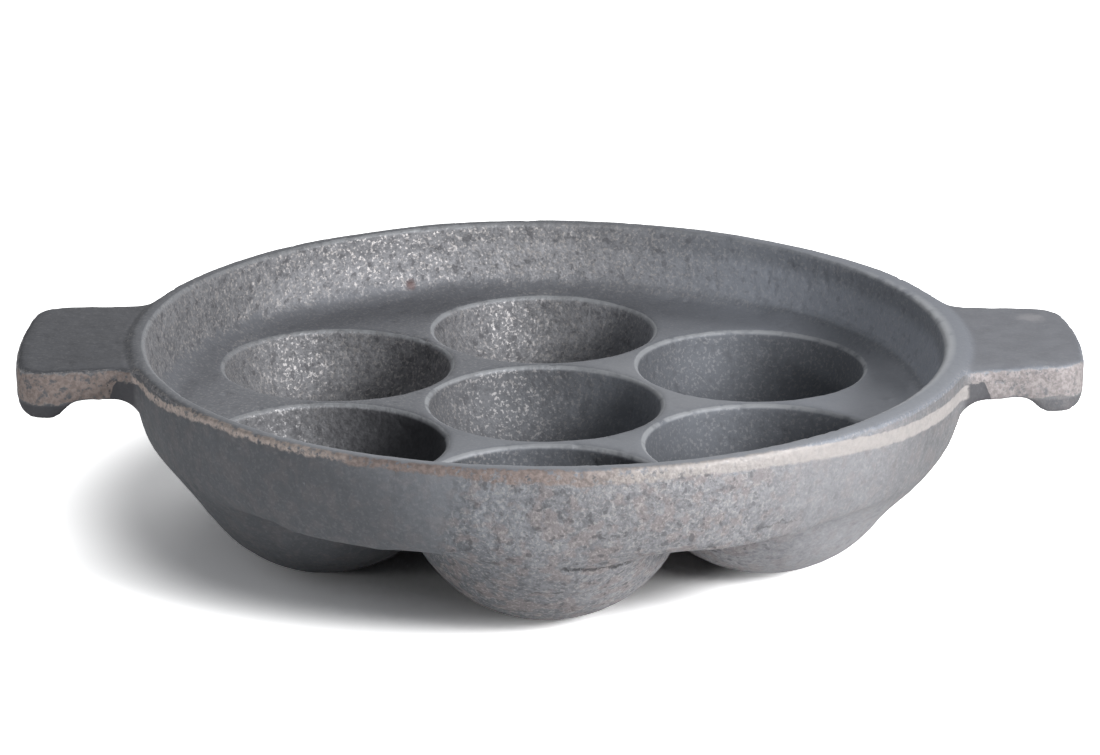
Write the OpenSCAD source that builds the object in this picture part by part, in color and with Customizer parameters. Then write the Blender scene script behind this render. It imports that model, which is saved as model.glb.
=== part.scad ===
// Paniyaram pan: one sand casting in iron, with seven ball-shaped cups sunk in a round plate, a low
// curved wall and two flat handles with a turned-down lip. Millimetres, +Z up, cups opening upward.
// The origin is on the floor under the middle cup, and the handles point along +X and -X.

/* [Cups] */
// Diameter of a cup's mouth in the plate
cup_d = 60.4; // [46:0.2:76]
// Iron left between the mouths of two neighbouring cups
cup_web = 3.4; // [2.6:0.2:8]
// Height of the middle of a cup's ball above the plate
cup_rise = 3; // [0:0.5:6]
// Thickness of a cup's wall
cup_wall = 5.6; // [4:0.1:6.6]
// Leg of the worn edge round a cup's mouth
cup_edge = 1.1; // [0.5:0.1:1.5]
// Diameter of the flat that each bowl stands on
foot_d = 12; // [6:1:20]

/* [Plate] */
// Flat ring of plate between the outer cups and the foot of the wall
ring_flat = 5.6; // [4:0.2:12]
// Thickness of the plate
plate_t = 6.3; // [4:0.1:7.5]
// Depth to which the pockets and valleys between the bowls are filled, below the plate
web_fill = 3; // [2:0.5:5]
// Reach of that filling past the outer end of the valleys, at its lowest
web_reach = 1.6; // [1:0.2:3]

/* [Wall] */
// Depth of the pan from the top of its rim to the plate
well_depth = 19; // [12:0.5:30]
// How far the inside of the wall leans outward between its foot and the rim
wall_lean = 3.1; // [1:0.1:6]
// Width of the rim's flat top
rim_w = 4.3; // [3:0.1:7]
// How far the outside of the wall draws in between the rim and its lower edge
wall_tuck = 4.5; // [1:0.1:5.5]
// Leg of the cove at the foot of the wall, inside
foot_cove = 3.8; // [1.5:0.1:4.2]
// Leg of the rounding on the wall's lower edge
low_edge = 1.9; // [0.8:0.1:2.1]
// Leg of the cove where a bowl leaves the underside
bowl_cove = 1.6; // [0.8:0.1:1.8]
// Leg of the worn edges of the rim
rim_edge = 0.9; // [0.4:0.1:1.4]

/* [Handles] */
// Reach of a handle from the rim to its tip
handle_reach = 28.6; // [22:0.2:45]
// Width of a handle at the rim
handle_root_w = 56; // [40:1:76]
// Width of a handle at its tip
handle_tip_w = 52; // [36:1:72]
// Thickness of a handle
handle_t = 8.6; // [5:0.1:10]
// Step from the rim's top down to the top of a handle
handle_step = 1.3; // [0.5:0.1:4]
// Depth of the lip under a handle's tip
lip_h = 4.3; // [2.5:0.1:8]
// Width of the lip along its lower edge
lip_w = 9.5; // [8:0.5:14]
// Run of the slope on the lip's inner side
lip_slope = 4; // [2:0.5:6]
// Leg of the round corners of a handle's tip, seen from above
tip_corner = 6; // [3:0.5:10]
// Leg of the cove between a handle's side and the rim, seen from above
root_cove = 8; // [4:0.5:12]
// Leg of the cove under a handle, against the wall
under_cove = 4; // [2:0.5:5]
// Leg of the rounding on the outer lower edge of the lip
lip_round = 3.5; // [2:0.5:4]
// Leg of the worn edge along the top of the tip
tip_edge = 1.2; // [0.5:0.1:2]

/* [Hidden] */
$fn = 120;
iron = "#6d7075";

// Cups on the ring round the middle one. Six of them leave the same web between all neighbours.
ring_cups = 6;
ring_start = 30;
// A cast corner is a little flatter than a true quarter round, by this share
ease = 1.2;
// Depth to which a corner piece reaches into the iron, and past its own leg
bite = 1;
overrun = 1.15;
// Flat left between two rounded corners that share a face
edge_gap = 0.2;

// Cups and bowls, from the inside outward
mouth_r = cup_d / 2;
pitch = cup_d + cup_web;
ball_r = norm([mouth_r, cup_rise]);
bowl_r = ball_r + cup_wall;
ball_z = sqrt(bowl_r * bowl_r - foot_d * foot_d / 4);
plate_z = ball_z - cup_rise;
under_z = plate_z - plate_t;
bowl_at_under = sqrt(bowl_r * bowl_r - pow(ball_z - under_z, 2));
foot_leg = min(foot_cove, ring_flat - cup_edge - edge_gap);

// Wall and rim
rim_z = plate_z + well_depth;
foot_r = pitch + mouth_r + ring_flat;
rim_in_r = foot_r + wall_lean;
rim_r = rim_in_r + rim_w;
wall_h = well_depth + plate_t;
curve_r = (wall_h * wall_h + wall_tuck * wall_tuck) / (2 * wall_tuck);
low_r = rim_r - wall_tuck;
// Under the wall, past the bowls, the lower edge's rounding and the bowls' coves lie side by side
ledge = low_r - pitch - bowl_at_under;
low_leg = min(low_edge, 0.55 * ledge);
cove_leg = min(bowl_cove, 0.42 * ledge);

// Handles
tip_r = rim_r + handle_reach;
handle_z = rim_z - handle_step;
under_depth = handle_step + handle_t;
handle_under_z = rim_z - under_depth;
lip_z = handle_under_z - lip_h;
lip_in_r = tip_r - lip_w;
lip_root_r = lip_in_r - lip_slope;
lip_blend = 0.35 * norm([lip_slope, lip_h]);
// Handles start inside the rim's width, so that they are one casting with it
handle_start_r = rim_in_r + rim_w / 2;
// Angle that a handle's section is swung through, wider than the handle
swing = 90;
// Corners of a handle's outline on its +Y side, and the ways its edges run from them. The outline
// starts from the wall as it is at the foot of the cove under the handle, where it is narrowest.
root_r = wall_r(under_depth + under_cove);
handle_root = on_circle(root_r, handle_root_w / 2);
handle_tip = on_circle(tip_r, handle_tip_w / 2);
side_out = heading(handle_root, handle_tip);
handle_back = handle_root - rim_w * side_out;
handle_beyond = handle_tip + handle_t * side_out;
rim_away = heading(handle_root, on_circle(root_r, handle_root_w / 2 + root_cove));
tip_in = heading(handle_tip, on_circle(tip_r, handle_tip_w / 2 - tip_corner));

// Radius of the wall's outside at a depth below the top of the rim
function wall_r(depth) = rim_r - curve_r + sqrt(curve_r * curve_r - depth * depth);
// Direction down the wall's outside at that depth, as radius and height. A corner on a curved face
// takes the direction half a leg from the corner, so that its curve ends on the face.
function wall_down(depth) = [-depth, -sqrt(curve_r * curve_r - depth * depth)] / curve_r;
// Direction down a ball of radius r where its surface lies a height h above its middle
function ball_down(r, h) = [h, -sqrt(r * r - h * h)] / r;
// Where a circle of radius r round the origin passes a distance y beside the X axis
function on_circle(r, y) = [sqrt(r * r - y * y), y];
// Unit vector from one point to another
function heading(from, to) = (to - from) / norm(to - from);
// A point or vector of the outline, as it is on the given side of the X axis
function flip(p, side) = [p.x, side * p.y];

// Piece that fills an inside corner with a hollow curve, or rounds an outside one when it is cut away.
// The corner is at p, its two faces run along the unit vectors a and b, and the curve meets each of
// them one leg from the corner. Like every outline here it runs counter-clockwise, whichever way
// round a and b are given.
module corner_curve(p, a, b, leg) {
    first = cross(a, b) > 0 ? a : b;
    second = cross(a, b) > 0 ? b : a;
    half = acos(a * b) / 2;
    r = ease * leg * tan(half);
    middle = p + heading([0, 0], a + b) * (leg * cos(half) + sqrt(r * r - pow(leg * sin(half), 2)));
    far = overrun * leg;
    difference() {
        polygon([
            p - bite * (a + b),
            p + far * first - bite * second,
            p + far * (a + b),
            p + far * second - bite * first,
        ]);
        translate(middle) circle(r);
    }
}

// Half section of the wall and plate, as radius and height
module wall_section() {
    inner_up = heading([foot_r, plate_z], [rim_in_r, rim_z]);
    difference() {
        union() {
            difference() {
                intersection() {
                    translate([0, under_z]) square([rim_r + bite, wall_h]);
                    translate([rim_r - curve_r, rim_z]) circle(curve_r);
                }
                polygon([
                    [-bite, plate_z],
                    [foot_r, plate_z],
                    [rim_in_r, rim_z] + bite * inner_up,
                    [-bite, rim_z + bite * inner_up.y],
                ]);
            }
            corner_curve([foot_r, plate_z], inner_up, [-1, 0], foot_leg);
        }
        corner_curve([low_r, under_z], -wall_down(wall_h - low_leg / 2), [-1, 0], low_leg);
        corner_curve([rim_r, rim_z], [-1, 0], wall_down(rim_edge / 2), rim_edge);
        corner_curve([rim_in_r, rim_z], -inner_up, [1, 0], rim_edge);
    }
}

// Half section of a bowl's outside, with the cove where it leaves the underside
module bowl_section() {
    intersection() {
        translate([0, ball_z]) circle(bowl_r);
        square([bowl_r, under_z + plate_t / 2]);
    }
    bowl_down = ball_down(bowl_r, under_z - ball_z - cove_leg / 2);
    corner_curve([bowl_at_under, under_z], bowl_down, [1, 0], cove_leg);
}

// Half section of the hollow of a cup, with the worn edge of its mouth
module cup_section() {
    intersection() {
        translate([0, ball_z]) circle(ball_r);
        translate([0, ball_z - ball_r - bite]) square([ball_r, ball_r - cup_rise + 2 * bite]);
    }
    mouth_down = ball_down(ball_r, -cup_rise - cup_edge / 2);
    corner_curve([mouth_r, plate_z], mouth_down, [1, 0], cup_edge);
}

// Puts its child at a cup's place: number 0 is in the middle, and the others are on the ring round it
module at_cup(number) {
    if (number == 0)
        children();
    else
        rotate(ring_start + number * 360 / ring_cups) translate([pitch, 0, 0]) children();
}

// The wall and plate with the bowls up to the given number, each joined in turn to what is there
module shell(number) {
    if (number < 0) {
        rotate_extrude() wall_section();
        web();
    } else {
        union() {
            shell(number - 1);
            at_cup(number) rotate_extrude() bowl_section();
        }
    }
}

// Section of a handle, as radius and height: a slab with a lip turned down at its tip
module handle_section() {
    slope_up = heading([lip_in_r, lip_z], [lip_root_r, handle_under_z]);
    wall_under = wall_down(under_depth + under_cove / 2);
    difference() {
        union() {
            polygon([
                [handle_start_r, handle_z],
                [handle_start_r, handle_under_z],
                [lip_root_r, handle_under_z],
                [lip_in_r, lip_z],
                [tip_r, lip_z],
                [tip_r, handle_z],
            ]);
            corner_curve([lip_root_r, handle_under_z], [-1, 0], -slope_up, lip_blend);
            corner_curve([wall_r(under_depth), handle_under_z], wall_under, [1, 0], under_cove);
        }
        corner_curve([tip_r, handle_z], [-1, 0], [0, -1], tip_edge);
        corner_curve([tip_r, lip_z], [0, 1], [-1, 0], lip_round);
        corner_curve([lip_in_r, lip_z], [1, 0], slope_up, lip_blend);
    }
}

// Outline of a handle seen from above, from inside the rim to past its tip
module handle_outline() {
    difference() {
        union() {
            polygon([for (p = [handle_back, handle_beyond]) flip(p, -1), handle_beyond, handle_back]);
            for (side = [-1, 1])
                corner_curve(
                    flip(handle_root, side), flip(side_out, side), flip(rim_away, side), root_cove
                );
        }
        for (side = [-1, 1])
            corner_curve(
                flip(handle_tip, side), -flip(side_out, side), flip(tip_in, side), tip_corner
            );
    }
}

// One handle, on the +X side
module handle() {
    intersection() {
        rotate(-swing / 2) rotate_extrude(angle = swing) handle_section();
        translate([0, 0, lip_z - bite])
            linear_extrude(handle_z - lip_z + 2 * bite) handle_outline();
    }
}

// Fills the small pockets where the middle bowl meets two others, and the valleys between bowls
module web() {
    fill_z = under_z - web_fill;
    bowl_at_fill = sqrt(bowl_r * bowl_r - pow(ball_z - fill_z, 2));
    valley = sqrt(max(0, bowl_at_fill * bowl_at_fill - pitch * pitch / 4));
    r = pitch * cos(180 / ring_cups) + valley + web_reach;
    h = web_fill + plate_t / 2;
    translate([0, 0, fill_z]) cylinder(h = h, r1 = r, r2 = r + h);
}

// The whole casting
module pan() {
    color(iron) difference() {
        union() {
            shell(ring_cups);
            for (side = [0, 1])
                mirror([side, 0, 0]) handle();
        }
        for (number = [0 : ring_cups])
            at_cup(number) rotate_extrude() cup_section();
    }
}

pan();
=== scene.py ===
from math import cos, radians, sin, tan
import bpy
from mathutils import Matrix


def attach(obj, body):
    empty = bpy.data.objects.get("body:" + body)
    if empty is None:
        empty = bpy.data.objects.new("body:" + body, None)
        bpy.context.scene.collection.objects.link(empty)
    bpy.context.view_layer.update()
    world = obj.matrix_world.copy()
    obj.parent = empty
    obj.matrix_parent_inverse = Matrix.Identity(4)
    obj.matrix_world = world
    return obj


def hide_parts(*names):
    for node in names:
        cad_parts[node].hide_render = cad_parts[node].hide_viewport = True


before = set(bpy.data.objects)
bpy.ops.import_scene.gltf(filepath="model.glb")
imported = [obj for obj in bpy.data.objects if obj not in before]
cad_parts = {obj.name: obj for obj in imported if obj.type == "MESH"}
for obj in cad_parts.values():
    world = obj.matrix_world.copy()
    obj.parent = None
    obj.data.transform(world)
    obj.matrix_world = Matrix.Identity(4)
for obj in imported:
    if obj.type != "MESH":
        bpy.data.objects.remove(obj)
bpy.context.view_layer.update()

from types import SimpleNamespace

import bmesh
import bpy
from mathutils import Matrix, Vector

# The casting
# The whole pan is one piece of grey iron, poured in a sand mould: a plate with seven ball-shaped
# cups, a low curved wall and two lipped handles. The sand leaves soft edges and a grained skin.

RIM_TOP = 0.051444
RIM_RADIUS = 0.107
RIM_INSIDE = 0.1027
PLATE_TOP = 0.032444
WALL_FOOT = 0.0996
HANDLE_TOP = 0.050144
HANDLE_UNDER = 0.041544
CUP_MOUTH = 0.0302
CUP_PITCH = 0.0638
CUP_STEP = radians(60)
BALL_HEIGHT = 0.035444
BOWL_SHELL = 0.0330


def socket(sockets, key):
    """A node's socket by place or by name; of several with one name, the one in use."""
    if isinstance(key, int):
        return sockets[key]
    return next(s for s in sockets if s.name == key and s.enabled)


def add(tree, kind, inputs=None, **settings):
    """Adds a node with its settings and gives its inputs values or links."""
    node = tree.nodes.new(kind)
    for name, value in settings.items():
        setattr(node, name, value)
    for key, value in (inputs or {}).items():
        target = socket(node.inputs, key)
        if isinstance(value, bpy.types.NodeSocket):
            tree.links.new(value, target)
        else:
            target.default_value = value
    return node


def calc(tree, operation, *values):
    """The result of one math node."""
    node = add(tree, "ShaderNodeMath", dict(enumerate(values)), operation=operation)
    return node.outputs[0]


def plus(tree, first, second):
    """Two values added together."""
    return calc(tree, "ADD", first, second)


def minus(tree, first, second):
    """The first value less the second."""
    return calc(tree, "SUBTRACT", first, second)


def rest(tree, value):
    """What is left of 1 once the value is taken away."""
    return calc(tree, "SUBTRACT", 1.0, value)


def larger(tree, first, second):
    """The larger of two values."""
    return calc(tree, "MAXIMUM", first, second)


def product(tree, *values):
    """Several values multiplied together."""
    result = values[0]
    for value in values[1:]:
        result = calc(tree, "MULTIPLY", result, value)
    return result


def length(tree, first, second):
    """The length of the long side over two sides at a right angle."""
    return calc(tree, "SQRT", plus(tree, product(tree, first, first), product(tree, second, second)))


def ramp(tree, value, low, high):
    """Rises smoothly from 0 at low to 1 at high, and falls if low is above high."""
    start, end, first, last = (low, high, 0.0, 1.0) if low < high else (high, low, 1.0, 0.0)
    node = add(tree, "ShaderNodeMapRange", {0: value, 1: start, 2: end, 3: first, 4: last},
               interpolation_type="SMOOTHSTEP")
    return node.outputs[0]


def band(tree, value, low, high, blur):
    """1 between low and high, falling to 0 over the blur outside them."""
    return product(tree, ramp(tree, value, low - blur, low), ramp(tree, value, high + blur, high))


def noise(tree, vector, size, detail=2.0, rough=0.5):
    """Noise between 0 and 1 whose lumps are about the given size in metres."""
    node = add(tree, "ShaderNodeTexNoise",
               {"Vector": vector, "Scale": 1.0 / size, "Detail": detail, "Roughness": rough})
    return node.outputs[0]


def joined(tree, x, y, z):
    """A vector from its three parts."""
    return add(tree, "ShaderNodeCombineXYZ", {0: x, 1: y, 2: z}).outputs[0]


def scaled(tree, vector, factor):
    """A vector or colour times a value."""
    node = add(tree, "ShaderNodeVectorMath", {0: vector, "Scale": factor}, operation="SCALE")
    return node.outputs[0]


def distance(tree, position, point):
    """How far a position lies from a fixed point."""
    node = add(tree, "ShaderNodeVectorMath", {0: position, 1: point}, operation="DISTANCE")
    return node.outputs[1]


def blend(tree, factor, low, high):
    """A colour between two others."""
    node = add(tree, "ShaderNodeMix", {"Factor": factor, "A": low, "B": high}, data_type="RGBA")
    return socket(node.outputs, "Result")


def pan_places(tree, position):
    """Where a point lies in the pan: x, y and z, its radius from the middle, how far it is across
    from the line out through the nearest ring cup, how far from the nearest cup's axis, and under,
    which is 1 on the outside of a bowl."""
    x, y, z = add(tree, "ShaderNodeSeparateXYZ", {0: position}).outputs
    radius = length(tree, x, y)
    turn = calc(tree, "WRAP", calc(tree, "ARCTAN2", y, x), CUP_STEP, 0.0)
    turn = minus(tree, turn, CUP_STEP / 2)
    along = minus(tree, product(tree, radius, calc(tree, "COSINE", turn)), CUP_PITCH)
    across = product(tree, radius, calc(tree, "SINE", turn))
    cup = calc(tree, "MINIMUM", length(tree, along, across), radius)
    ball = length(tree, cup, minus(tree, z, BALL_HEIGHT))
    under = product(tree, ramp(tree, ball, BOWL_SHELL, BOWL_SHELL + 0.0008), ramp(tree, z, 0.0316, 0.0308))
    across = calc(tree, "ABSOLUTE", across)
    return SimpleNamespace(x=x, y=y, z=z, radius=radius, turn=turn, along=along, across=across, cup=cup,
                           under=under)


# two cracks at the front: where the wax fill of the pattern's front bowl stopped short, and a
# shorter one further right; each has its ends in x, its edges in z, both blurs and its strength
CRACKS = ((0.005, 0.018, 0.0238, 0.0244, 0.004, 0.0006, 1.0),
          (0.051, 0.058, 0.0317, 0.0319, 0.003, 0.0005, 0.6))


def cracks(tree, at, ragged):
    """1 along the two broken cracks on the front of the pan, and 0 beside them."""
    height = plus(tree, at.z, product(tree, ragged, 0.0060))
    lines = 0.0
    for left, right, bottom, top, blur, edge_blur, strength in CRACKS:
        line = product(tree, band(tree, at.x, left, right, blur),
                       band(tree, height, bottom, top, edge_blur))
        lines = larger(tree, lines, product(tree, line, strength))
    broken = ramp(tree, calc(tree, "ABSOLUTE", ragged), 0.005, 0.02)
    outer_face = larger(tree, at.under, ramp(tree, at.radius, 0.1005, 0.1015))
    return product(tree, lines, ramp(tree, at.y, -0.05, -0.06), broken, outer_face)


LEFT_TWIST = 0.0014
RIGHT_TWIST = 0.0009
CORE_SHIFT = 0.0024


def handle_twist(tree, at, left, right):
    """How far the near sides of the twisted handles rise; the left one's hangs."""
    rise = product(tree, ramp(tree, at.x, 0.106, 0.128), right)
    hang = product(tree, ramp(tree, at.x, -0.106, -0.128), left)
    return product(tree, minus(tree, rise, hang), ramp(tree, at.y, 0.027, -0.027))


def core_shift(tree, at, outer, shift):
    """How far the outside of the right-hand wall, and its handle, stand out to the right."""
    return product(tree, ramp(tree, at.x, 0.045, 0.095), ramp(tree, at.z, 0.016, 0.027), outer, shift)


def pattern_places(tree, place):
    """Where a point of the finished pan lay before the right side's shift and the handles' twist."""
    at = pan_places(tree, place)
    shift = core_shift(tree, at, ramp(tree, at.radius, RIM_INSIDE, RIM_RADIUS), CORE_SHIFT)
    offset = joined(tree, shift, 0.0, handle_twist(tree, at, LEFT_TWIST, RIGHT_TWIST))
    before = add(tree, "ShaderNodeVectorMath", {0: place, 1: offset}, operation="SUBTRACT")
    return pan_places(tree, before.outputs[0])


def regions(tree, at, facing_up, ragged):
    """The parts of the skin that differ, each 1 inside and 0 outside."""
    within = ramp(tree, at.radius, RIM_INSIDE - 0.0006, RIM_INSIDE - 0.0014)
    # inside, the left and the back are frosted, and the right is smooth; the bluish tone on the right is
    # painted shade colour
    frost = ramp(tree, minus(tree, product(tree, at.y, 0.6), at.x), -0.02, 0.06)
    # the flats came off smooth dark sand: the plate, the top of the rim, the tops of the handles,
    # and on the frosted side the foot of the wall
    flat = ramp(tree, facing_up, 0.75, 0.93)
    height = plus(tree, at.z, product(tree, ragged, 0.008))
    foot = product(tree, within, frost, ramp(tree, at.radius, WALL_FOOT - 0.006, WALL_FOOT - 0.002),
                   ramp(tree, height, PLATE_TOP + 0.0055, PLATE_TOP + 0.0020),
                   ramp(tree, at.z, PLATE_TOP - 0.002, PLATE_TOP - 0.001))
    in_cup = product(tree, ramp(tree, at.cup, CUP_MOUTH + 0.0012, CUP_MOUTH + 0.0004), rest(tree, at.under),
                     ramp(tree, at.z, PLATE_TOP - 0.0004, PLATE_TOP - 0.0018),
                     ramp(tree, at.radius, WALL_FOOT, WALL_FOOT - 0.002))
    front_left_cup = product(tree, ramp(tree, at.y, 0.001, -0.001), ramp(tree, at.x, -0.020, -0.024),
                             ramp(tree, at.radius, 0.031, 0.033), in_cup)
    inner_wall = product(tree, within, ramp(tree, at.radius, WALL_FOOT - 0.001, WALL_FOOT),
                         ramp(tree, at.z, PLATE_TOP, PLATE_TOP + 0.004))
    smooth = product(tree, larger(tree, flat, foot), rest(tree, in_cup))
    outside = product(tree, ramp(tree, facing_up, 0.35, 0.15),
                      ramp(tree, at.radius, RIM_INSIDE, RIM_INSIDE + 0.0012))
    outside = larger(tree, outside, at.under)
    calm = product(tree, rest(tree, outside), rest(tree, frost))
    # the outside is coarse at the front and sleeker on the left and on the right
    slanted = minus(tree, at.x, product(tree, at.z, 0.28))
    sleek = plus(tree, product(tree, ramp(tree, slanted, -0.0300, -0.0365), 0.75),
                 product(tree, ramp(tree, at.x, 0.040, 0.065), 0.6))
    grain = product(tree, rest(tree, product(tree, smooth, 0.75)), rest(tree, product(tree, outside, sleek)),
                    rest(tree, product(tree, calm, 0.7)))
    return SimpleNamespace(frost=frost, in_cup=in_cup, front_left_cup=front_left_cup, inner_wall=inner_wall,
                           smooth=smooth, outside=outside, calm=calm, grain=grain)


def skin_level(tree, at, part):
    """How light the grained skin is against its plain tone, with painted light and painted shade in it."""
    # the inner wall is a lighter grey; on its smooth right it is painted lighter still, painted light in its
    # shade
    wall = plus(tree, 0.28, product(tree, part.calm, 0.14))
    wall = minus(tree, wall, product(tree, ramp(tree, at.x, -0.068, -0.088), 0.40))
    wall = minus(tree, wall, product(tree, band(tree, at.x, 0.018, 0.045, 0.02), 0.12))
    level = plus(tree, 1.0, product(tree, part.inner_wall, wall))

    # painted shade: the cups darken towards the right of the pan, the front one and its left neighbour most
    right_side = plus(tree, 0.13, product(tree, ramp(tree, part.frost, 1.0, 0.5), 0.24))
    front_cup = product(tree, ramp(tree, at.y, -0.030, -0.040), ramp(tree, at.x, 0.032, 0.026),
                        ramp(tree, at.x, -0.032, -0.026), 0.25)
    middle_cup = product(tree, ramp(tree, at.radius, 0.032, 0.030), 0.08)
    for dark in (right_side, front_cup, middle_cup):
        level = minus(tree, level, product(tree, part.in_cup, dark))
    far_half = product(tree, ramp(tree, at.x, -0.060, -0.045), 0.12)
    level = minus(tree, level, product(tree, part.front_left_cup, plus(tree, 0.20, far_half)))
    # painted light: the right halves of the middle cup and of the one behind it are lighter
    behind = ramp(tree, minus(tree, at.y, product(tree, at.x, tan(CUP_STEP))), -0.0005, 0.0005)
    two_cups = larger(tree, ramp(tree, at.radius, 0.0325, 0.0310), behind)
    level = plus(tree, level, product(tree, part.in_cup, two_cups, ramp(tree, at.x, 0.000, 0.020), 0.34))

    # painted shade and painted light: the outside darkens to the left and at the far right, and the bowls on
    # the right are lighter
    level = plus(tree, level, product(tree, at.under, ramp(tree, at.x, 0.020, 0.050),
                                      ramp(tree, at.z, 0.0275, 0.0235), 0.20))
    level = minus(tree, level, product(tree, part.outside, ramp(tree, at.x, 0.074, 0.094), 0.30))
    leftward = plus(tree, at.x, minus(tree, at.z, 0.030))
    return minus(tree, level, product(tree, part.outside, ramp(tree, leftward, -0.001, -0.042), 0.43))


SKIN_DARK = (0.20, 0.203, 0.218, 1)
SKIN_LIGHT = (0.42, 0.42, 0.44, 1)
SKIN_CALM = (0.27, 0.30, 0.35, 1)
SKIN_WARM = (0.345, 0.290, 0.280, 1)
LEFT_TINT = (0.955, 1.0, 1.035)


def grained_skin(tree, place, at, part, fine, coarse):
    """The colour of the sand-grained skin."""
    cloud = noise(tree, place, 0.016, 3.0, 0.55)
    speck = ramp(tree, plus(tree, product(tree, fine, 0.65), product(tree, coarse, 0.35)), 0.36, 0.64)
    speck = plus(tree, 0.5, product(tree, minus(tree, speck, 0.5), part.grain))
    tone = plus(tree, product(tree, speck, 0.6), product(tree, cloud, 0.4))
    skin = blend(tree, tone, SKIN_DARK, SKIN_LIGHT)
    # painted shade colour: the smooth right of the inside is given a bluish tone
    skin = blend(tree, product(tree, part.calm, 0.6), skin, SKIN_CALM)
    skin = scaled(tree, skin, skin_level(tree, at, part))
    cool = add(tree, "ShaderNodeVectorMath", {0: skin, 1: LEFT_TINT}, operation="MULTIPLY").outputs[0]
    skin = blend(tree, product(tree, part.outside, ramp(tree, at.x, 0.020, -0.030)), skin, cool)
    warm = product(tree, ramp(tree, noise(tree, place, 0.0040, 2.0), 0.48, 0.60), part.grain, part.outside)
    return blend(tree, product(tree, warm, 0.45), skin, SKIN_WARM)


FLAT_LEFT = (0.230, 0.240, 0.266, 1)
FLAT_RIGHT = (0.345, 0.362, 0.405, 1)
FLAT_NEAR = (0.40, 0.415, 0.45, 1)
HANDLE_FLAT = (0.245, 0.250, 0.275, 1)
# places on the plate with a painted sheen: the middle of each, the radii where it ends and where it is full,
# its share, and its colour
PLATE_SHEEN = (((0.086, -0.014, PLATE_TOP), 0.030, 0.010, 0.6, (0.50, 0.52, 0.57, 1)),
          ((0.030, 0.013, PLATE_TOP), 0.034, 0.014, 0.5, (0.46, 0.47, 0.50, 1)))


def flat_skin(tree, place, at):
    """The colour of the smooth flats: the plate, the rim's top and the handles' tops."""
    # painted light: the flats are lighter towards the right and towards the front
    flats = blend(tree, ramp(tree, at.x, 0.02, 0.08), FLAT_LEFT, FLAT_RIGHT)
    flats = blend(tree, ramp(tree, at.radius, RIM_RADIUS - 0.001, RIM_RADIUS + 0.002), flats, HANDLE_FLAT)
    near_rim = product(tree, ramp(tree, at.y, -0.050, -0.080), ramp(tree, at.x, -0.085, -0.060), 0.75)
    near = larger(tree, product(tree, ramp(tree, at.y, -0.018, -0.034), 0.55), near_rim)
    flats = blend(tree, near, flats, FLAT_NEAR)
    for point, outer, inner, share, colour in PLATE_SHEEN:
        sheen = ramp(tree, distance(tree, place, point), outer, inner)
        flats = blend(tree, product(tree, sheen, share), flats, colour)
    blotch = ramp(tree, noise(tree, place, 0.007, 3.0, 0.6), 0.35, 0.65)
    blotch = product(tree, blotch, ramp(tree, at.radius, RIM_RADIUS, RIM_RADIUS + 0.004))
    return scaled(tree, flats, plus(tree, 0.95, product(tree, blotch, 0.16)))


LEFT_FLAT_SHADE = (0.075, 0.08, 0.09, 1)
UNDER_HANDLE_SHADE = (0.09, 0.09, 0.10, 1)
WORN_CORNER = (0.44, 0.43, 0.45, 1)
CORNER_PLACE = (0.1275, 0.0165, HANDLE_TOP)


def shade_and_wear_skin(tree, skin, place, at, part, ragged):
    """The skin with painted shade on the flats at the left, under the handles' lips and in the hollows at
    their roots, and with the right handle's far corner worn light."""
    # painted shade: the flats at the left, and the left handle's most, are darker
    beyond_rim = product(tree, ramp(tree, at.radius, RIM_RADIUS + 0.001, RIM_RADIUS + 0.003), 0.6)
    leftward = ramp(tree, minus(tree, at.x, product(tree, at.y, 0.5)), -0.01, -0.06)
    left_shade = product(tree, plus(tree, 0.4, beyond_rim), part.smooth,
                   ramp(tree, at.radius, RIM_INSIDE, RIM_INSIDE + 0.001), leftward, 0.62)
    skin = blend(tree, left_shade, skin, LEFT_FLAT_SHADE)
    # painted shade under the handles' lips and in the hollows at their roots
    reach = calc(tree, "ABSOLUTE", at.x)
    lip_shade = product(tree, ramp(tree, reach, 0.115, 0.118),
                  ramp(tree, at.z, HANDLE_UNDER, HANDLE_UNDER - 0.001),
                  plus(tree, 0.45, product(tree, ramp(tree, at.x, 0.0, -0.05), 0.35)))
    root_shade = product(tree, ramp(tree, reach, 0.1118, 0.1098),
                     ramp(tree, at.radius, RIM_RADIUS, RIM_RADIUS + 0.001),
                     ramp(tree, at.z, HANDLE_UNDER + 0.0062, HANDLE_UNDER + 0.0052), 0.8)
    skin = blend(tree, larger(tree, lip_shade, root_shade), skin, UNDER_HANDLE_SHADE)
    corner = plus(tree, distance(tree, place, CORNER_PLACE), product(tree, ragged, 0.008))
    return blend(tree, product(tree, ramp(tree, corner, 0.0052, 0.0016), 0.6), skin, WORN_CORNER)


GROUND_LEFT = (0.68, 0.59, 0.545, 1)
GROUND_FRONT = (0.39, 0.32, 0.297, 1)
GROUND_RIGHT = (0.53, 0.495, 0.48, 1)
GROUND_EVEN = (0.40, 0.385, 0.385, 1)
BAR_LEFT = (0.42, 0.35, 0.325, 1)
BAR_RIGHT = (0.42, 0.385, 0.385, 1)


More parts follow.
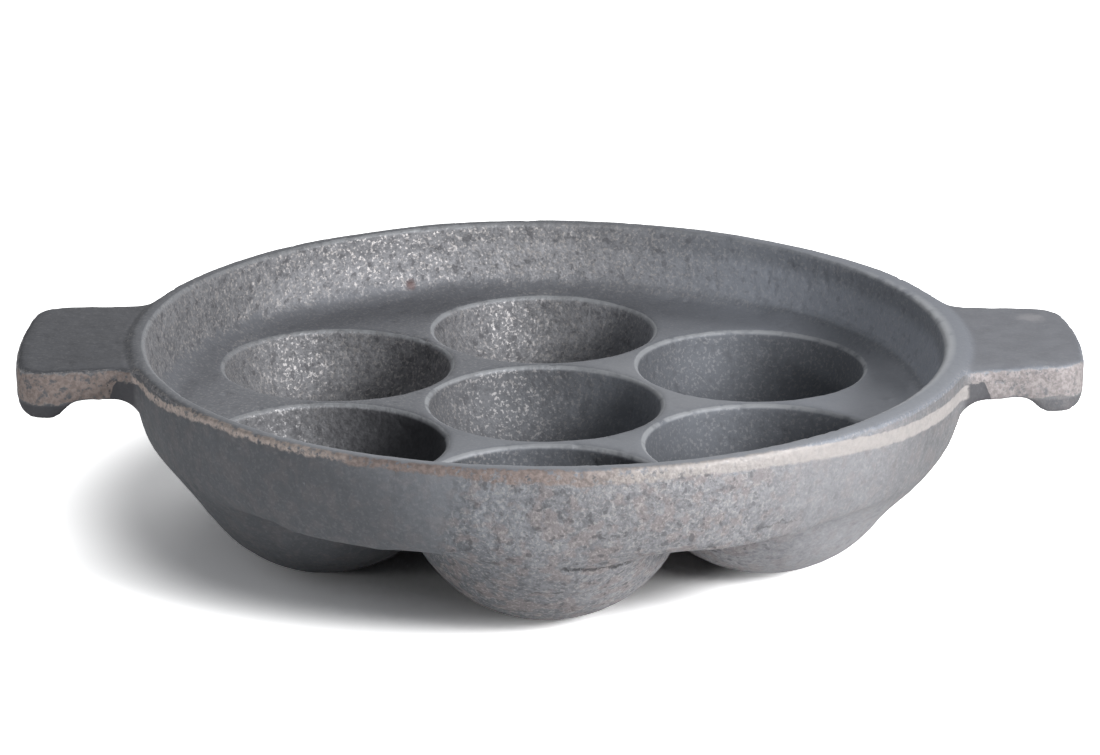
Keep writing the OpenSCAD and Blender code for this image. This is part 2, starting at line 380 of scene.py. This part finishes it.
def ground_line(tree, skin, place, at, facing_up, ragged, fine):
    """The skin with its parting line ground off: along the outside of the rim, lower towards the
    handles, and over the handles' long edges. It is more even on the right."""
    drop = plus(tree, product(tree, ramp(tree, at.x, 0.045, 0.107), 0.0042),
                product(tree, ramp(tree, at.x, -0.080, -0.102), 0.0024))
    even = ramp(tree, at.x, 0.015, 0.050)
    wobble = product(tree, ragged, minus(tree, 0.0034, product(tree, even, 0.0020)))
    depth = minus(tree, minus(tree, RIM_TOP, plus(tree, at.z, wobble)), drop)
    width = plus(tree, 0.0022, product(tree, ramp(tree, at.x, -0.02, 0.07), 0.0018))
    width = plus(tree, product(tree, band(tree, at.x, -0.008, 0.018, 0.02), 0.0012), width)
    on_rim = product(tree, ramp(tree, at.radius, RIM_RADIUS - 0.0016, RIM_RADIUS - 0.0008),
                     ramp(tree, at.radius, RIM_RADIUS + 0.0016, RIM_RADIUS + 0.0006),
                     ramp(tree, calc(tree, "ABSOLUTE", at.y), 0.0255, 0.0285),
                     ramp(tree, depth, 0.0, 0.0005),
                     ramp(tree, minus(tree, depth, width), 0.0004, -0.0004))
    root = product(tree, ramp(tree, calc(tree, "ABSOLUTE", at.x), 0.1105, 0.1075), 0.0055)
    side = minus(tree, plus(tree, at.z, product(tree, ragged, 0.0040)), root)
    on_handle = product(tree, ramp(tree, at.radius, RIM_RADIUS + 0.0006, RIM_RADIUS + 0.0016),
                        ramp(tree, calc(tree, "ABSOLUTE", facing_up), 0.72, 0.45),
                        band(tree, side, HANDLE_UNDER + 0.0004, HANDLE_TOP - 0.0012, 0.0006),
                        ramp(tree, calc(tree, "ABSOLUTE", at.y), 0.0195, 0.0215))
    even = product(tree, even, on_rim)
    bare = ramp(tree, noise(tree, place, 0.0017, 3.0, 0.65), 0.34, 0.50)
    ground = product(tree, larger(tree, on_rim, on_handle), larger(tree, bare, product(tree, even, 0.85)))

    metal = blend(tree, ramp(tree, at.x, -0.058, -0.040), GROUND_LEFT, GROUND_FRONT)
    metal = blend(tree, ramp(tree, at.x, -0.006, 0.030), metal, GROUND_RIGHT)
    bar = blend(tree, ramp(tree, at.x, -0.05, 0.05), BAR_LEFT, BAR_RIGHT)
    metal = blend(tree, on_handle, metal, bar)
    dull = scaled(tree, metal, 0.72)
    metal = blend(tree, product(tree, even, 0.35), metal, GROUND_EVEN)
    dull = blend(tree, product(tree, even, 0.7), dull, metal)
    metal = blend(tree, ramp(tree, fine, 0.35, 0.65), dull, metal)
    return blend(tree, ground, skin, metal)


def worn_and_lit_edges(tree, place, at):
    """1 where edges are bright, partly worn and partly a painted highlight on their rounding: the inner edge
    of the rim and the mouths of the cups.
    """
    back_right = product(tree, ramp(tree, at.y, 0.03, 0.07), ramp(tree, at.x, -0.03, 0.01), 0.7)
    rim = product(tree, band(tree, at.radius, RIM_INSIDE - 0.0002, RIM_INSIDE + 0.0008, 0.0004),
                  ramp(tree, at.z, RIM_TOP - 0.0014, RIM_TOP - 0.0008), rest(tree, back_right))
    mouths = product(tree, band(tree, at.cup, CUP_MOUTH + 0.0001, CUP_MOUTH + 0.0008, 0.0004),
                     ramp(tree, at.z, PLATE_TOP - 0.0016, PLATE_TOP - 0.0008))
    patchy = ramp(tree, noise(tree, place, 0.006, 3.0, 0.6), 0.25, 0.5)
    strength = plus(tree, 0.45, product(tree, ramp(tree, at.x, -0.09, -0.05), 0.45))
    return product(tree, larger(tree, rim, mouths), patchy, strength)


PIT = (0.10, 0.10, 0.11, 1)
GLINT = (0.74, 0.70, 0.68, 1)
WORN_LIT_EDGE = (0.50, 0.515, 0.54, 1)
CRACK = (0.08, 0.08, 0.085, 1)
RUST = (0.26, 0.13, 0.11, 1)
RUST_PLACE = (-0.0376, 0.0928, 0.0360)


def iron_material():
    """Bare sand-cast iron: a dull grey grained skin, smooth and dark on the flats, brighter where it's worn
    and where a painted highlight lies on its rounded edges, and tan where the parting line was ground off.
    Painted light and shade are laid into its colour in places."""
    material = bpy.data.materials.new("sand_cast_iron")
    material.use_nodes = True
    tree = material.node_tree
    tree.nodes.clear()
    place = add(tree, "ShaderNodeTexCoord").outputs["Object"]
    at = pattern_places(tree, place)
    true_normal = add(tree, "ShaderNodeNewGeometry").outputs["True Normal"]
    facing_up = add(tree, "ShaderNodeSeparateXYZ", {0: true_normal}).outputs[2]
    fine = noise(tree, place, 0.0011, 2.0, 0.6)
    coarse = noise(tree, place, 0.0028, 2.0, 0.6)
    ragged = minus(tree, noise(tree, place, 0.0045, 3.0, 0.65), 0.5)
    part = regions(tree, at, facing_up, ragged)

    skin = grained_skin(tree, place, at, part, fine, coarse)
    skin = blend(tree, product(tree, part.smooth, 0.80), skin, flat_skin(tree, place, at))
    pits = ramp(tree, noise(tree, place, 0.0022, 2.0, 0.6), 0.56, 0.68)
    skin = blend(tree, product(tree, pits, part.grain, 0.62), skin, PIT)
    glint = product(tree, ramp(tree, noise(tree, place, 0.0009, 2.0, 0.6), 0.52, 0.64), part.grain,
                    rest(tree, pits))
    # painted highlights: the glints are bright metal grains that also stand in for highlights; they are
    # weaker on the outside and in the cups, and weakest in the front left one
    dimmed = plus(tree, product(tree, part.outside, 0.35), product(tree, part.in_cup, 0.20))
    dimmer = plus(tree, 0.26, product(tree, ramp(tree, at.x, -0.060, -0.045), 0.3))
    dimmed = plus(tree, dimmed, product(tree, part.front_left_cup, dimmer))
    silver = larger(tree, minus(tree, 0.60, dimmed), 0.0)
    skin = blend(tree, product(tree, glint, silver), skin, GLINT)

    skin = shade_and_wear_skin(tree, skin, place, at, part, ragged)
    skin = ground_line(tree, skin, place, at, facing_up, ragged, fine)
    # the worn edges also carry a painted highlight
    skin = blend(tree, worn_and_lit_edges(tree, place, at), skin, WORN_LIT_EDGE)
    skin = blend(tree, product(tree, cracks(tree, at, ragged), 0.75), skin, CRACK)
    # one small bloom of rust at the foot of the wall
    bloom = plus(tree, distance(tree, place, RUST_PLACE), product(tree, ragged, 0.004))
    skin = blend(tree, product(tree, ramp(tree, bloom, 0.0024, 0.0006), 0.5), skin, RUST)

    relief = plus(tree, product(tree, fine, 0.4), product(tree, coarse, 0.9))
    relief = product(tree, relief, plus(tree, product(tree, part.grain, 0.85), 0.15))
    bump = add(tree, "ShaderNodeBump", {"Height": relief, "Strength": 1.0, "Distance": 0.00045})
    roughness = minus(tree, 0.70, product(tree, glint, 0.15))
    metallic = plus(tree, 0.42, product(tree, glint, 0.25))
    shader = add(tree, "ShaderNodeBsdfPrincipled",
                 {"Base Color": skin, "Metallic": metallic, "Roughness": roughness,
                  "Normal": bump.outputs[0]})
    add(tree, "ShaderNodeOutputMaterial", {"Surface": shader.outputs[0]})
    return material


SAND_SIZES = {
    "Softening": 5,
    "Ledge Blending": 60,
    "Step Fill": 1.0,
    "Front Bulge": 0.0010,
    "Front Patch": 0.0005,
    "Core Shift": CORE_SHIFT,
    "Left Twist": LEFT_TWIST,
    "Right Twist": RIGHT_TWIST,
    "Swell": 0.00035,
    "Grain": 0.00010,
    "Pits": 0.00025,
    "Crack Depth": 0.0004,
}
FILL_LOW_RADIUS = 0.0291
FILL_LOW_Z = 0.0143
FILL_DEEPEST = 0.004
FILL_SLOPE = radians(36)


def moved(tree, geometry, offset):
    """The geometry with each point moved by the offset."""
    return add(tree, "GeometryNodeSetPosition", {"Geometry": geometry, "Offset": offset}).outputs[0]


def placed(tree, geometry, position):
    """The geometry with each point put at the position."""
    return add(tree, "GeometryNodeSetPosition", {"Geometry": geometry, "Position": position}).outputs[0]


def blurred(tree, position, inputs):
    """Each point's position evened out with its neighbours'."""
    node = add(tree, "GeometryNodeBlurAttribute", {"Value": position, **inputs}, data_type="FLOAT_VECTOR")
    return socket(node.outputs, "Value")


def unit(tree, x, y):
    """A level vector made one long."""
    flat = joined(tree, x, y, 0.0)
    return add(tree, "ShaderNodeVectorMath", {0: flat}, operation="NORMALIZE").outputs[0]


def step_fill(tree, at, front, sideways, given):
    """How each bowl's face is carried on into the wall above it. The moulder filled that step in the
    pattern with wax, on a slope from the wall's lower edge down to the bowl, fuller at the front."""
    height = product(tree, minus(tree, at.z, FILL_LOW_Z), sin(FILL_SLOPE))
    lack = minus(tree, height, product(tree, minus(tree, at.cup, FILL_LOW_RADIUS), cos(FILL_SLOPE)))
    bulge = product(tree, front, band(tree, at.z, 0.0205, 0.0250, 0.007), given["Front Bulge"])
    lack = calc(tree, "MINIMUM", larger(tree, plus(tree, lack, bulge), 0.0), FILL_DEEPEST)
    lack = product(tree, lack, at.under, ramp(tree, sideways, radians(48), radians(20)),
                   ramp(tree, at.z, FILL_LOW_Z, 0.0165), given["Step Fill"])
    bowl_turn = minus(tree, calc(tree, "ARCTAN2", at.y, at.x), at.turn)
    from_x = minus(tree, at.x, product(tree, calc(tree, "COSINE", bowl_turn), CUP_PITCH))
    from_y = minus(tree, at.y, product(tree, calc(tree, "SINE", bowl_turn), CUP_PITCH))
    out = scaled(tree, unit(tree, from_x, from_y), cos(FILL_SLOPE))
    down = (0.0, 0.0, -sin(FILL_SLOPE))
    slope = add(tree, "ShaderNodeVectorMath", {0: out, 1: down}, operation="ADD").outputs[0]
    return scaled(tree, slope, lack)


def sand_skin(material):
    """Geometry nodes that give the remeshed pan the soft, uneven surface of a sand casting."""
    tree = bpy.data.node_groups.new("sand_skin", "GeometryNodeTree")
    sockets = tree.interface
    sockets.new_socket("Geometry", in_out="OUTPUT", socket_type="NodeSocketGeometry")
    sockets.new_socket("Geometry", in_out="INPUT", socket_type="NodeSocketGeometry")
    for name, value in SAND_SIZES.items():
        kind = "NodeSocketInt" if isinstance(value, int) else "NodeSocketFloat"
        size = sockets.new_socket(name, in_out="INPUT", socket_type=kind)
        size.default_value = value
    given = add(tree, "NodeGroupInput").outputs
    position = add(tree, "GeometryNodeInputPosition").outputs[0]
    normal = add(tree, "GeometryNodeInputNormal").outputs[0]
    at = pan_places(tree, position)

    soft = blurred(tree, position, {"Iterations": given["Softening"]})
    geometry = placed(tree, given["Geometry"], soft)

    front = ramp(tree, at.y, -0.06, -0.07)
    sideways = calc(tree, "ARCTAN2", at.across, at.along)
    geometry = moved(tree, geometry, step_fill(tree, at, front, sideways, given))
    # the wall over the front bowl is patched a little thicker
    patch = product(tree, front, ramp(tree, at.x, -0.022, -0.016), ramp(tree, at.x, 0.070, 0.030),
                    ramp(tree, at.z, 0.020, 0.027), ramp(tree, at.z, 0.0485, 0.043),
                    ramp(tree, at.radius, 0.101, 0.1025), given["Front Patch"])
    geometry = moved(tree, geometry, scaled(tree, unit(tree, at.x, at.y), patch))
    ledge = product(tree, ramp(tree, at.radius, 0.088, 0.092), band(tree, at.z, 0.0170, 0.0325, 0.004),
                    ramp(tree, sideways, radians(54), radians(36)),
                    rest(tree, ramp(tree, at.cup, 0.0325, 0.0315)))
    merged = blurred(tree, position, {"Iterations": given["Ledge Blending"], "Weight": ledge})
    geometry = placed(tree, geometry, merged)

    # the mould's halves met a little off, so the right wall is thicker and its handle further out
    facing = add(tree, "ShaderNodeSeparateXYZ", {0: normal}).outputs[0]
    outer_face = product(tree, ramp(tree, facing, 0.1, 0.5), ramp(tree, at.radius, 0.090, 0.094))
    outer = larger(tree, outer_face, ramp(tree, at.radius, RIM_INSIDE, RIM_RADIUS))
    shift = core_shift(tree, at, outer, given["Core Shift"])
    geometry = moved(tree, geometry, joined(tree, shift, 0.0, 0.0))

    # the handles are a little twisted: the near side of the left one hangs, and the right one's rises
    twist = handle_twist(tree, at, given["Left Twist"], given["Right Twist"])
    geometry = moved(tree, geometry, joined(tree, 0.0, 0.0, twist))

    swell = minus(tree, noise(tree, position, 0.030, 1.0), 0.5)
    ripple = minus(tree, noise(tree, position, 0.007, 2.0), 0.5)
    grain = minus(tree, noise(tree, position, 0.0028, 2.0), 0.5)
    pits = ramp(tree, noise(tree, position, 0.0045, 2.0, 0.6), 0.60, 0.72)
    ragged = minus(tree, noise(tree, position, 0.0045, 3.0, 0.65), 0.5)
    lift = plus(tree, product(tree, swell, given["Swell"], 2.0),
                product(tree, plus(tree, ripple, grain), given["Grain"], 2.0))
    lift = minus(tree, lift, product(tree, pits, given["Pits"]))
    lift = minus(tree, lift, product(tree, cracks(tree, at, ragged), given["Crack Depth"]))
    geometry = moved(tree, geometry, scaled(tree, normal, lift))
    # nothing goes below the floor that the bowls stand on
    lowest = (-1.0, -1.0, 0.0)
    kept = add(tree, "ShaderNodeVectorMath", {0: position, 1: lowest}, operation="MAXIMUM").outputs[0]
    geometry = placed(tree, geometry, kept)
    geometry = add(tree, "GeometryNodeSetShadeSmooth", {"Geometry": geometry}).outputs[0]
    geometry = add(tree, "GeometryNodeRealizeInstances", {"Geometry": geometry}).outputs[0]
    geometry = add(tree, "GeometryNodeSetMaterial", {"Geometry": geometry, "Material": material}).outputs[0]
    add(tree, "NodeGroupOutput", {"Geometry": geometry})
    return tree


def evaluated(piece):
    """The piece's mesh as its modifiers leave it."""
    return bpy.data.meshes.new_from_object(piece.evaluated_get(bpy.context.evaluated_depsgraph_get()))


VOXEL = 0.0008
TRIANGLES = 190000
SAME_POINT = 1e-6

solid = bmesh.new()
solid.from_mesh(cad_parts["pan"].data)
bmesh.ops.remove_doubles(solid, verts=solid.verts, dist=SAME_POINT)
bmesh.ops.recalc_face_normals(solid, faces=solid.faces)
mesh = bpy.data.meshes.new("pan_casting")
solid.to_mesh(mesh)
solid.free()
casting = bpy.data.objects.new("pan_casting", mesh)
bpy.context.scene.collection.objects.link(casting)
remesh = casting.modifiers.new("voxels", "REMESH")
remesh.mode = "VOXEL"
remesh.voxel_size = VOXEL
skin = casting.modifiers.new("skin", "NODES")
skin.node_group = sand_skin(iron_material())
dense = evaluated(casting)
casting.modifiers.clear()
casting.data = dense
thin = casting.modifiers.new("thin", "DECIMATE")
# every face of the remeshed pan has four sides, which makes two triangles
thin.ratio = TRIANGLES / (2 * len(dense.polygons))
casting.data = evaluated(casting)
casting.modifiers.clear()
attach(casting, "root")
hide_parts("pan")

# The floor
# A wide sheet of white paper that the pan stands on. It shows pure white away from the pan, and close around
# the pan's foot it is painted darker for the camera, a painted shade between the bowls.

FLOOR_HALF = 5.0
PAPER = 0.8
PAPER_SEEN = 1.1
SHADE_MIDDLE = (-0.004, 0, 0)
SHADE_INSIDE = 0.054
SHADE_OUTSIDE = 0.082
SHADOW_MIDDLE = (-0.023, 0.016, 0)
SHADOW_INSIDE = 0.082
SHADOW_OUTSIDE = 0.122
MIRRORED = 0.3
corners = [(-FLOOR_HALF, -FLOOR_HALF, 0), (FLOOR_HALF, -FLOOR_HALF, 0), (FLOOR_HALF, FLOOR_HALF, 0),
           (-FLOOR_HALF, FLOOR_HALF, 0)]
mesh = bpy.data.meshes.new("floor")
mesh.from_pydata(corners, [], [(0, 1, 2, 3)])
floor = bpy.data.objects.new("floor", mesh)
bpy.context.scene.collection.objects.link(floor)
paper = bpy.data.materials.new("white_paper")
paper.use_nodes = True
tree = paper.node_tree
tree.nodes.clear()
ray = add(tree, "ShaderNodeLightPath").outputs
place = add(tree, "ShaderNodeTexCoord").outputs["Object"]
# painted shade: near the pan's foot the camera sees the paper darker
open_floor = ramp(tree, distance(tree, place, SHADE_MIDDLE), SHADE_INSIDE, SHADE_OUTSIDE)
open_floor = product(tree, open_floor, PAPER_SEEN)
bright = plus(tree, PAPER, product(tree, ray["Is Camera Ray"], open_floor))
sheet = add(tree, "ShaderNodeBsdfDiffuse", {"Color": bright})
glow = ramp(tree, distance(tree, place, SHADOW_MIDDLE), SHADOW_INSIDE, SHADOW_OUTSIDE)
mirrored = larger(tree, ray["Is Glossy Ray"], ray["Is Transmission Ray"])
seen = larger(tree, product(tree, mirrored, MIRRORED), ray["Is Camera Ray"])
white = add(tree, "ShaderNodeEmission", {"Color": (1, 1, 1, 1), "Strength": product(tree, glow, seen)})
both = add(tree, "ShaderNodeAddShader", {0: sheet.outputs[0], 1: white.outputs[0]})
add(tree, "ShaderNodeOutputMaterial", {"Surface": both.outputs[0]})
mesh.materials.append(paper)

# The light
# Three soft lamps: the main one at the front right, a wide one behind the pan, and a weak low one
# at the front left. A dim, even, pale room lights the rest.

LAMPS = {
    "key": {"turn": radians(51), "rise": radians(27), "distance": 0.65, "size": (0.22, 0.18), "power": 3.9},
    "back": {"turn": radians(180), "rise": radians(32), "distance": 1.2, "size": (0.8, 0.4), "power": 3.4},
    "fill": {"turn": radians(-65), "rise": radians(10), "distance": 1.0, "size": (0.3, 0.12), "power": 1.5},
}
ROOM_COLOUR = (0.95, 0.97, 1.0, 1)
ROOM_STRENGTH = 0.12
for name, lamp in LAMPS.items():
    light = bpy.data.lights.new(name, "AREA")
    light.shape = "RECTANGLE"
    light.size, light.size_y = lamp["size"]
    light.energy = lamp["power"]
    holder = bpy.data.objects.new(name, light)
    bpy.context.scene.collection.objects.link(holder)
    level = cos(lamp["rise"])
    away = Vector((sin(lamp["turn"]) * level, -cos(lamp["turn"]) * level, sin(lamp["rise"])))
    holder.location = away * lamp["distance"]
    holder.rotation_euler = away.to_track_quat("Z", "Y").to_euler()

world = bpy.data.worlds.new("room")
bpy.context.scene.world = world
world.use_nodes = True
world.node_tree.nodes.clear()
sky = add(world.node_tree, "ShaderNodeBackground", {"Color": ROOM_COLOUR, "Strength": ROOM_STRENGTH})
add(world.node_tree, "ShaderNodeOutputWorld", {"Surface": sky.outputs[0]})

# The camera
# It stands where the photo's did, a little above the pan and in front of it.

CAMERA_TURN = radians(0.46)
CAMERA_DROP = radians(18.162)
CAMERA_ROLL = radians(0.232)
CAMERA_DISTANCE = 0.980
CAMERA_AIM = Vector((0.0013, 0.0, 0.0389))
SENSOR_WIDTH = 36.0
FOCAL_LENGTH = 123.81
lens = bpy.data.cameras.new("camera")
lens.sensor_width = SENSOR_WIDTH
lens.lens = FOCAL_LENGTH
camera = bpy.data.objects.new("camera", lens)
bpy.context.scene.collection.objects.link(camera)
level = cos(CAMERA_DROP)
ahead = Vector((sin(CAMERA_TURN) * level, cos(CAMERA_TURN) * level, -sin(CAMERA_DROP)))
turned = ahead.to_track_quat("-Z", "Y").to_matrix() @ Matrix.Rotation(CAMERA_ROLL, 3, "Z")
camera.location = CAMERA_AIM - ahead * CAMERA_DISTANCE
camera.rotation_euler = turned.to_euler()
bpy.context.scene.camera = camera
bpy.context.scene.view_settings.view_transform = "Standard"
